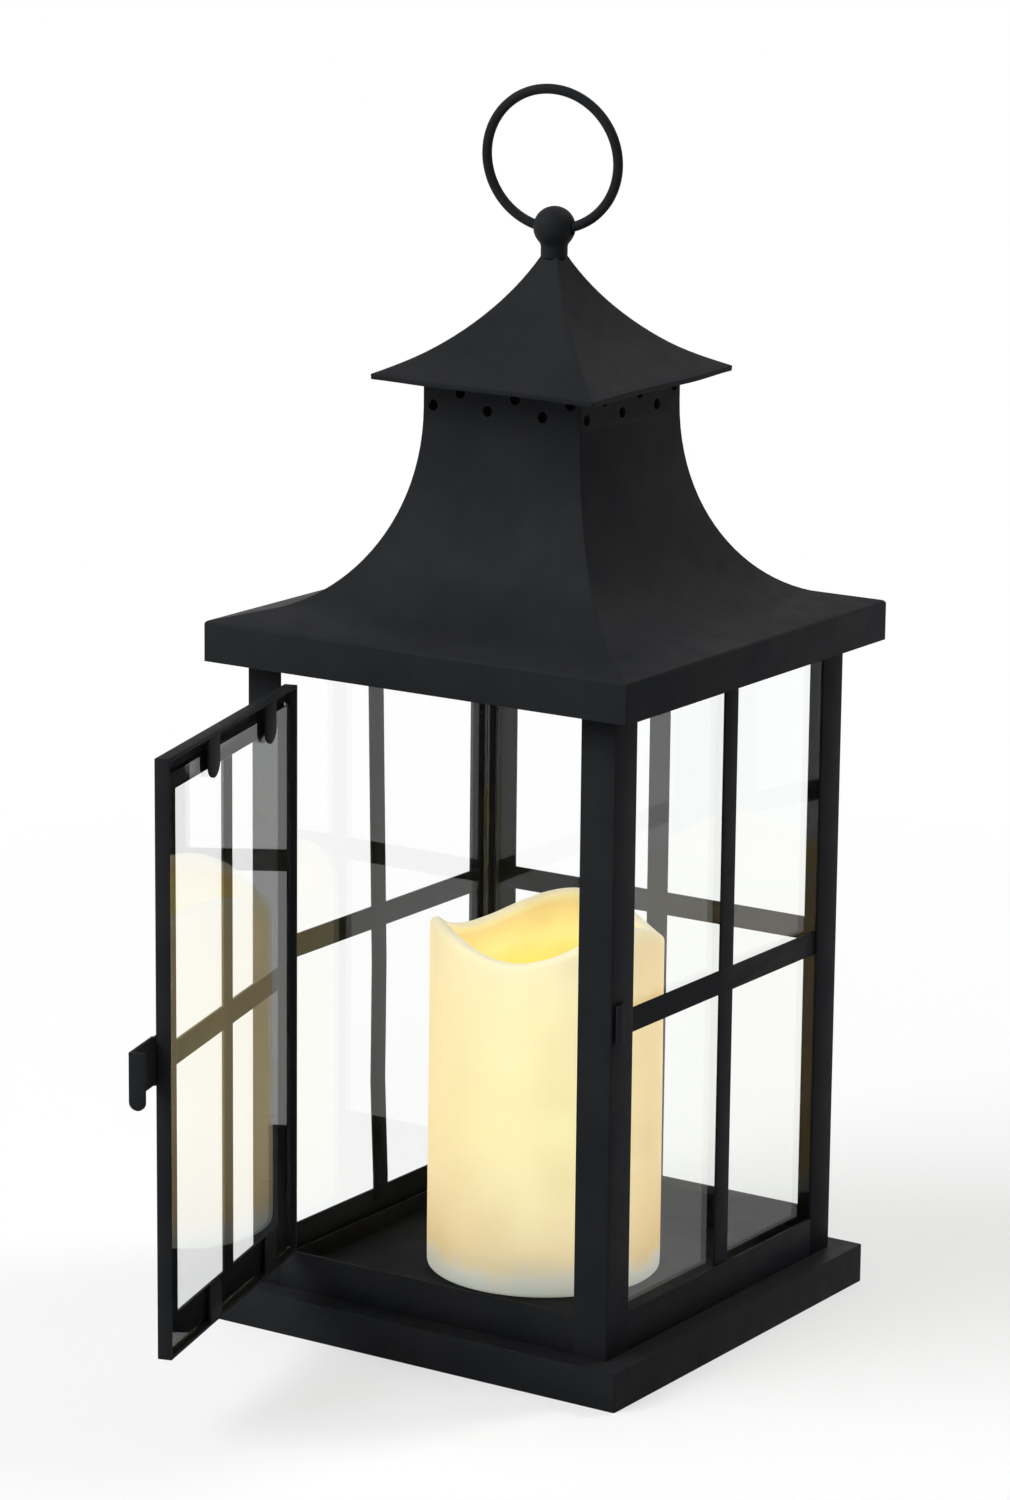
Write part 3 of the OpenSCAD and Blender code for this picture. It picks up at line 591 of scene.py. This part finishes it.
def makeRoof(sizes):
    low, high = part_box("roof_front")
    half, top = high.x, high.z
    collarHalf = sizes["collarHalf"] * mm
    bellTop = top - sizes["collar"] * mm
    eave = bellTop - sizes["rise"] * mm
    slope = math.radians(sizes["flareSlope"])
    way = Vector((-math.cos(slope), math.sin(slope)))
    flareEnd = Vector((half, eave)) + sizes["flare"] * mm * way
    handles = (flareEnd, flareEnd + sizes["foot"] * mm * way,
               Vector((collarHalf, bellTop - sizes["neck"] * mm)), Vector((collarHalf, bellTop)))
    curve = [curvePoint(handles, i / sizes["steps"]) for i in range(sizes["steps"] + 1)]
    rings = [(low.z - sizes["fasciaDrop"] * mm, half), (eave, half)]
    rings += [(point.y, point.x) for point in curve]
    rings.append((top, collarHalf))
    piece = drawShell(rings)
    startEditing(piece)
    selectWhere("edges", lambda edge: (abs(edgeAlong(edge).z) < 0.01
                                       and abs(edgeMiddle(edge).z - eave) < 1e-5))
    bpy.ops.mesh.bevel(offset=sizes["fold"] * mm, segments=4, affect="EDGES")
    selectWhere("edges", hipEdge)
    bpy.ops.mesh.bevel(offset=sizes["ridge"] * mm, segments=3, affect="EDGES")
    stopEditing()
    applyModifier(piece, "SOLIDIFY", thickness=sizes["sheet"] * mm, offset=-1, use_even_offset=True,
                  use_quality_normals=True)
    drills = []
    drillSize = {"vertices": sizes["ventSides"], "radius": sizes["ventRadius"] * mm, "depth": 6 * mm}
    for side in range(4):
        turn = side * math.pi / 2
        for k in range(sizes["ventCount"]):
            across = (k - (sizes["ventCount"] - 1) / 2) * sizes["ventPitch"] * mm
            height = bellTop + (sizes["ventLow"] + (k % 2) * sizes["ventStep"]) * mm
            spot = Matrix.Rotation(turn, 3, "Z") @ Vector((across, -collarHalf, height))
            bpy.ops.mesh.primitive_cylinder_add(location=spot, rotation=(math.pi / 2, 0, turn), **drillSize)
            drills.append(bpy.context.object)
    drill = joinPieces(*drills)
    applyPlace(drill)
    cutAway(piece, drill)
    shadeByAngle(piece, 30)
    return settle(piece, "bellRoof", "frame", "black_metal", coatMaterial,
                  "roof_front", "roof_right", "roof_back", "roof_left")


makeRoof(roofSizes)
print("roof made")


# cap roof with its folded hem and hand-bent corners

capSizes = {
    "arcRadius": 79.0,
    "topHalf": 2.0,
    "rise": 38.6,
    "peak": 2.7,  # how far the folded peak stands up round the finial's neck
    "steps": 20,
    "layer": 0.8,
    "sheet": 0.6,
    "hem": 4.0,
    "hemDrop": 0.2,
    "hemGap": 0.1,
    "edge": 0.25,
    "ridge": 0.45,
    "cuts": 16,
    "tipReach": 2.5,
    "bendReach": 24.0,
    "cornerLifts": {(-1, -1): 0.45, (1, -1): -0.6, (1, 1): 0.75, (-1, 1): 0.6},
}


def makeCap(sizes):
    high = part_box("cap_roof")[1]
    half, top = high.x, high.z
    rise = sizes["rise"] * mm
    radius = sizes["arcRadius"] * mm
    topHalf = sizes["topHalf"] * mm
    edge = top + sizes["peak"] * mm - rise
    chord = Vector((topHalf - half, rise))
    offset = math.sqrt(radius ** 2 - (chord.length / 2) ** 2)
    middle = Vector((half, 0)) + chord / 2 + Vector((rise, half - topHalf)) / chord.length * offset
    start = math.atan2(-middle.y, half - middle.x)
    end = math.atan2(rise - middle.y, topHalf - middle.x)
    arcs = [start + (end - start) * i / sizes["steps"] for i in range(sizes["steps"] + 1)]
    under = radius + (2 * sizes["layer"] + sizes["hemDrop"]) * mm
    hemEnd = start - sizes["hem"] / sizes["arcRadius"]
    rings = [(edge + middle.y + under * math.sin(angle), middle.x + under * math.cos(angle))
             for angle in (hemEnd, start)]
    rings[1] = (rings[1][0], half - sizes["hemGap"] * mm)
    rings += [(edge + middle.y + radius * math.sin(angle), middle.x + radius * math.cos(angle))
              for angle in arcs]
    piece = drawShell(rings)
    startEditing(piece)
    selectWhere("edges", lambda edge: len(edge.link_faces) == 1 and edgeMiddle(edge).z > top)
    bpy.ops.mesh.edge_face_add()
    selectWhere("edges", hipEdge)
    bpy.ops.mesh.bevel(offset=sizes["ridge"] * mm, segments=2, affect="EDGES")
    selectWhere("edges", lambda edge: abs(edgeAlong(edge).z) < 0.01 and
                (edge.verts[0].co - edge.verts[1].co).length > 3 * mm and edgeMiddle(edge).z < top)
    bpy.ops.mesh.subdivide(number_cuts=sizes["cuts"])
    for (x, y), lift in sizes["cornerLifts"].items():
        corner = Vector((x * half, y * half, edge))
        selectWhere("verts", lambda vertex: (vertex.co - corner).length < sizes["tipReach"] * mm)
        bpy.ops.transform.translate(value=(0, 0, lift * mm), use_proportional_edit=True,
                                    proportional_edit_falloff="SMOOTH",
                                    proportional_size=sizes["bendReach"] * mm)
    bpy.ops.mesh.select_all(action="SELECT")
    bpy.ops.mesh.normals_make_consistent(inside=False)
    stopEditing()
    applyModifier(piece, "SOLIDIFY", thickness=sizes["sheet"] * mm, offset=-1, use_even_offset=True,
                  use_quality_normals=True)
    applyModifier(piece, "BEVEL", width=sizes["edge"] * mm, segments=2, limit_method="ANGLE",
                  angle_limit=math.radians(50), use_clamp_overlap=True)
    shadeByAngle(piece, 30)
    return settle(piece, "capRoof", "frame", "black_metal", coatMaterial, "cap_roof")


makeCap(capSizes)
print("cap made")


# ball finial and wire ring

finialSizes = {
    "ball": 6.6,
    "neck": 4.2,
    "ballUp": 9.2,
    "fillet": 2.6,
    "hole": 2.31,
    "yaw": 10.0,
    "filletSteps": 5,
    "ballSteps": 20,
    "sides": 56,
}
ringSizes = {
    "radius": 21.9,
    "wire": 1.55,
    "lean": 6.4,
    "yaw": 10.0,
    "up": 21.437,
    "wireSides": 24,
    "steps": 120,
}


def makeFinial(sizes):
    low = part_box("finial_ball")[0]
    ball, neck, fillet = (sizes[key] * mm for key in ("ball", "neck", "fillet"))
    centre = low.z + sizes["ballUp"] * mm
    reach = neck + fillet
    joint = math.acos(min(1, reach / (ball + fillet)))
    waist = centre - (ball + fillet) * math.sin(joint)
    rings = [(low.z, neck)]
    for i in range(sizes["filletSteps"] + 1):
        angle = joint * i / sizes["filletSteps"]
        rings.append((waist + fillet * math.sin(angle), reach - fillet * math.cos(angle)))
    climb = math.pi / 2 + joint
    for i in range(1, sizes["ballSteps"] + 1):
        angle = climb * i / sizes["ballSteps"] - joint
        rings.append((centre + ball * math.sin(angle), ball * max(1e-4, math.cos(angle))))
    piece = drawShell(rings, sizes["sides"])
    startEditing(piece)
    selectWhere("edges", lambda edge: len(edge.link_faces) == 1)
    bpy.ops.mesh.edge_face_add()
    stopEditing()
    mergeAndFaceOut(piece, 2e-6)
    bpy.ops.mesh.primitive_cylinder_add(vertices=40, radius=sizes["hole"] * mm, depth=4 * ball,
                                        location=(0, 0, centre),
                                        rotation=(0, math.pi / 2, math.radians(sizes["yaw"])))
    drill = bpy.context.object
    applyPlace(drill)
    cutAway(piece, drill)
    shadeByAngle(piece, 35)
    return settle(piece, "finialBall", "frame", "black_metal", coatMaterial, "finial_ball")


def makeRing(sizes):
    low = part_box("finial_ball")[0]
    bpy.ops.mesh.primitive_circle_add(vertices=sizes["wireSides"], radius=sizes["wire"] * mm,
                                      location=(sizes["radius"] * mm, 0, 0), rotation=(math.pi / 2, 0, 0))
    piece = bpy.context.object
    applyPlace(piece)
    startEditing(piece)
    bpy.ops.mesh.select_all(action="SELECT")
    bpy.ops.mesh.spin(steps=sizes["steps"], angle=2 * math.pi, center=(0, 0, 0), axis=(0, 0, 1))
    stopEditing()
    mergeAndFaceOut(piece)
    piece.matrix_world = (Matrix.Translation((0, 0, low.z + finialSizes["ballUp"] * mm))
                          @ Matrix.Rotation(math.radians(sizes["yaw"]), 4, "Z")
                          @ Matrix.Rotation(math.radians(sizes["lean"]), 4, "X")
                          @ Matrix.Translation((0, 0, sizes["up"] * mm))
                          @ Matrix.Rotation(math.pi / 2, 4, "X"))
    shadeByAngle(piece, 60)
    return settle(piece, "ringHandle", "handle", "black_metal", coatMaterial, "ring_handle")


makeFinial(finialSizes)
makeRing(ringSizes)
print("finial and ring made")


# glass

glassPanes = {
    "paneRight": ("pane_right", "frame"),
    "paneBack": ("pane_back", "frame"),
    "paneLeft": ("pane_left", "frame"),
    "doorPane": ("door_glass", "door"),
}
glassEdge = 0.25
for paneName, (paneNode, paneBody) in glassPanes.items():
    pane = mergedCopy(paneNode)
    applyModifier(pane, "BEVEL", width=glassEdge * mm, segments=2, limit_method="ANGLE",
                  angle_limit=math.radians(40))
    settle(pane, paneName, paneBody, "clear_glass", glassMaterial, paneNode)
print("glass made")


# candle

candleSizes = {
    "foot": 12.9,
    "radius": 37.4,
    "taper": 0.3,
    "height": 112.8,
    "sideRings": (20, 40, 60),
    "sideWave": 0.12,
    "wave": 4.4,
    "waveCount": 3,
    "waveTurn": -13,
    "tilt": 1.34,
    "tiltTurn": 163,
    "uneven": 0.25,
    "unevenScale": 120,
    "rimBand": 6,
    "cupWall": [(0.4, 8, 0.85, 0.62), (0.7, 15, 0.6, 0.75)],  # inward, down, wave's share, over the rim
    "rim": 4.4,
    "rimRound": 2.3,
    "footRound": 1.4,
    "cupDepth": 32.0,
    "cupFloor": 8.0,
    "cupRound": 8.0,
    "cupLean": 1.6,
    "well": 6.0,
    "cavity": 29.5,
    "sides": 96,
}


# Each point: radius, height, share of the rim's wave, and way over the rim (0 outside, 1 in the cup)
def candleSection(sizes):
    radius, height, rim, taper = (sizes[key] for key in ("radius", "height", "rim", "taper"))
    footRound, cupRound, well, cavity = (sizes[key] for key in ("footRound", "cupRound", "well", "cavity"))
    cup = height - sizes["cupDepth"]
    ceiling = cup - sizes["cupFloor"]
    section = [(cavity, 0, 0, 0), (radius - footRound, 0, 0, 0)]
    for degrees in (30, 60, 90):
        angle = math.radians(degrees)
        inward, up = footRound * (1 - math.sin(angle)), footRound * (1 - math.cos(angle))
        section.append((radius - inward, up, 0, 0))
    for ring in sizes["sideRings"]:
        section.append((radius - taper * ring / height, ring, sizes["sideWave"] * (ring / height) ** 2, 0))
    wallHeight = height - sizes["rimBand"] - cup
    for k in range(5):
        section.append((radius - taper, cup + wallHeight * k / 4, 0.1 + 0.8 * (k / 4) ** 1.5, 0))
    rimMiddle = radius - rim / 2
    for degrees in range(0, 181, 20):
        angle = math.radians(degrees)
        section.append((rimMiddle - taper + rim / 2 * math.cos(angle),
                        height - sizes["rimRound"] * (1 - math.sin(angle)), 1, 0.1 + 0.4 * degrees / 180))
    for inward, down, share, over in sizes["cupWall"]:
        section.append((radius - rim - inward, height - down, share, over))
    cupMiddle = radius - rim - sizes["cupLean"] - cupRound
    for degrees in range(0, 91, 15):
        angle = math.radians(degrees)
        section.append((cupMiddle + cupRound * math.cos(angle), cup + cupRound * (1 - math.sin(angle)),
                        0.2 * math.cos(angle), 0.9))
    section += [(well + 1, cup, 0, 1), (well, cup - 1, 0, 1), (well, ceiling, 0, 1),
                (cavity - 2, ceiling, 0, 1), (cavity, ceiling - 2, 0, 1), (cavity, 0, 0, 0)]
    return section


# The melted rim rises and falls three times round the candle and leans a little
def meltRim(piece, section, sizes):
    overRim = piece.data.attributes.new("overRim", "FLOAT", "POINT")
    for vertex in piece.data.vertices:
        r = math.hypot(vertex.co.x, vertex.co.y) / mm
        z = vertex.co.z / mm - sizes["foot"]
        share, over = min(section, key=lambda point: abs(point[0] - r) + abs(point[1] - z))[2:]
        overRim.data[vertex.index].value = over
        angle = math.atan2(vertex.co.y, vertex.co.x)
        wave = (sizes["wave"] * math.cos(sizes["waveCount"] * (angle - math.radians(sizes["waveTurn"])))
                - sizes["tilt"] * math.cos(angle - math.radians(sizes["tiltTurn"])))
        uneven = sizes["uneven"] * noise.noise(vertex.co * sizes["unevenScale"])
        vertex.co.z += share * (wave + uneven) * mm


def makeCandle(sizes):
    section = candleSection(sizes)
    rings = [((sizes["foot"] + point[1]) * mm, point[0] * mm) for point in section]
    piece = drawShell(rings, sizes["sides"])
    meltRim(piece, section, sizes)
    applyModifier(piece, "SUBSURF", levels=1, render_levels=1)
    shadeByAngle(piece, 60)
    return settle(piece, "candleWax", "candle", "wax", waxMaterial, "candle_wax")


makeCandle(candleSizes)
print("candle made")


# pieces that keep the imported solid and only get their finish

plainFinishes = {
    "stainlessSteel": {"colour": (0.55, 0.56, 0.58), "roughness": 0.32, "metallic": 1.0,
                       "nodes": ["finial_stud", "stud_nut", "cover_screw", "battery_contacts"]},
    "whiteMoulding": {"colour": (0.72, 0.72, 0.70), "roughness": 0.5,
                      "nodes": ["battery_case", "battery_cover", "switch_housing"]},
    "darkMoulding": {"colour": (0.03, 0.03, 0.03), "roughness": 0.5, "nodes": ["switch_slider"]},
    "cellSleeve": {"colour": (0.45, 0.24, 0.05), "roughness": 0.35, "nodes": ["battery_cells"]},
    "lampBoard": {"colour": (0.02, 0.12, 0.05), "roughness": 0.45, "nodes": ["lamp_board"]},
}


def dressNode(node, material):
    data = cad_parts[node].data
    data.materials.clear()
    data.materials.append(material)


for finishName, finish in plainFinishes.items():
    finishMaterial = makePlain(finishName, finish["colour"], finish["roughness"],
                               finish.get("metallic", 0.0), plainLook)
    for finishNode in finish["nodes"]:
        dressNode(finishNode, finishMaterial)

lampMaterial, lampTree, lampShader = newMaterial("amberLamp")
lampShader.inputs["Base Color"].default_value = (0.9, 0.55, 0.2, 1)
lampShader.inputs["Emission Strength"].default_value = 3.0
lampShader.inputs["Roughness"].default_value = 0.2
lampTree.links.new(blendColours(lampTree, noiseAt(lampTree, objectPlace(lampTree), 300), (1.0, 0.55, 0.15),
                                (1.0, 0.70, 0.25)), lampShader.inputs["Emission Color"])
dressNode("lamp", lampMaterial)
print("plain finishes given")


# floor, world and lamps

studio = {
    "floor": (0.80, 0.80, 0.79),
    "floorSize": 40,
    "nearLift": 0.58,
    "nearRadius": 0.17,
    "farRadius": 0.7,
    "ambient": 0.31,
    "aim": (0, 0, 0.15),
    "keyLamp": {"location": (-1.3, -1.9, 2.2), "size": 2.2, "power": 112, "colour": (0.96, 0.98, 1.0)},
    "backLamp": {"location": (0.9, 1.6, 2.6), "size": 0.6, "power": 36, "colour": (1.0, 0.98, 0.95)},
}


# 1 for rays from the camera, a mirror or glass, so that all of these see the same white background
def seenDirectly(tree):
    path = addNode(tree, "ShaderNodeLightPath")
    either = mathNode(tree, "MAXIMUM", path.outputs["Is Camera Ray"], path.outputs["Is Glossy Ray"])
    return mathNode(tree, "MAXIMUM", either, path.outputs["Is Transmission Ray"])


def makeFloor(sizes):
    bpy.ops.mesh.primitive_plane_add(size=sizes["floorSize"], location=(0, 0, 0))
    floor = bpy.context.object
    floor.name = "floor"
    material, tree, shader = newMaterial("paleFloor")
    darker = tuple(0.985 * part for part in sizes["floor"])
    colour = blendColours(tree, noiseAt(tree, objectPlace(tree), 40, 4), darker, sizes["floor"])
    tree.links.new(colour, shader.inputs["Base Color"])
    shader.inputs["Roughness"].default_value = 0.8
    shader.inputs["Specular IOR Level"].default_value = 0.1
    white = addNode(tree, "ShaderNodeEmission", {"Color": (1, 1, 1, 1), "Strength": 1.0})
    length = addNode(tree, "ShaderNodeVectorMath", {0: objectPlace(tree)}, operation="LENGTH")
    distance = length.outputs["Value"]
    lift = spread(tree, distance, sizes["nearRadius"], sizes["farRadius"], sizes["nearLift"], 1)
    share = mathNode(tree, "MULTIPLY", seenDirectly(tree), lift)
    mix = addNode(tree, "ShaderNodeMixShader", {0: share, 1: shader.outputs[0], 2: white.outputs[0]})
    tree.links.new(mix.outputs[0], tree.nodes["Material Output"].inputs["Surface"])
    floor.data.materials.append(material)


def makeWorld(ambient):
    world = bpy.data.worlds.new("whiteStudio")
    bpy.context.scene.world = world
    world.use_nodes = True
    tree = world.node_tree
    background = tree.nodes["Background"]
    background.inputs["Color"].default_value = (1, 1, 1, 1)
    tree.links.new(spread(tree, seenDirectly(tree), 0, 1, ambient, 1), background.inputs["Strength"])


def addSoftLamp(name, sizes, target):
    bpy.ops.object.light_add(type="AREA", location=sizes["location"])
    lamp = bpy.context.object
    lamp.name = name
    lamp.data.size = sizes["size"]
    lamp.data.energy = sizes["power"]
    lamp.data.color = sizes["colour"]
    aim = Vector(target) - Vector(sizes["location"])
    lamp.rotation_euler = aim.to_track_quat("-Z", "Y").to_euler()


makeFloor(studio)
makeWorld(studio["ambient"])
addSoftLamp("keyLamp", studio["keyLamp"], studio["aim"])
addSoftLamp("backLamp", studio["backLamp"], studio["aim"])
bpy.context.scene.view_settings.view_transform = "Standard"
print("studio made")
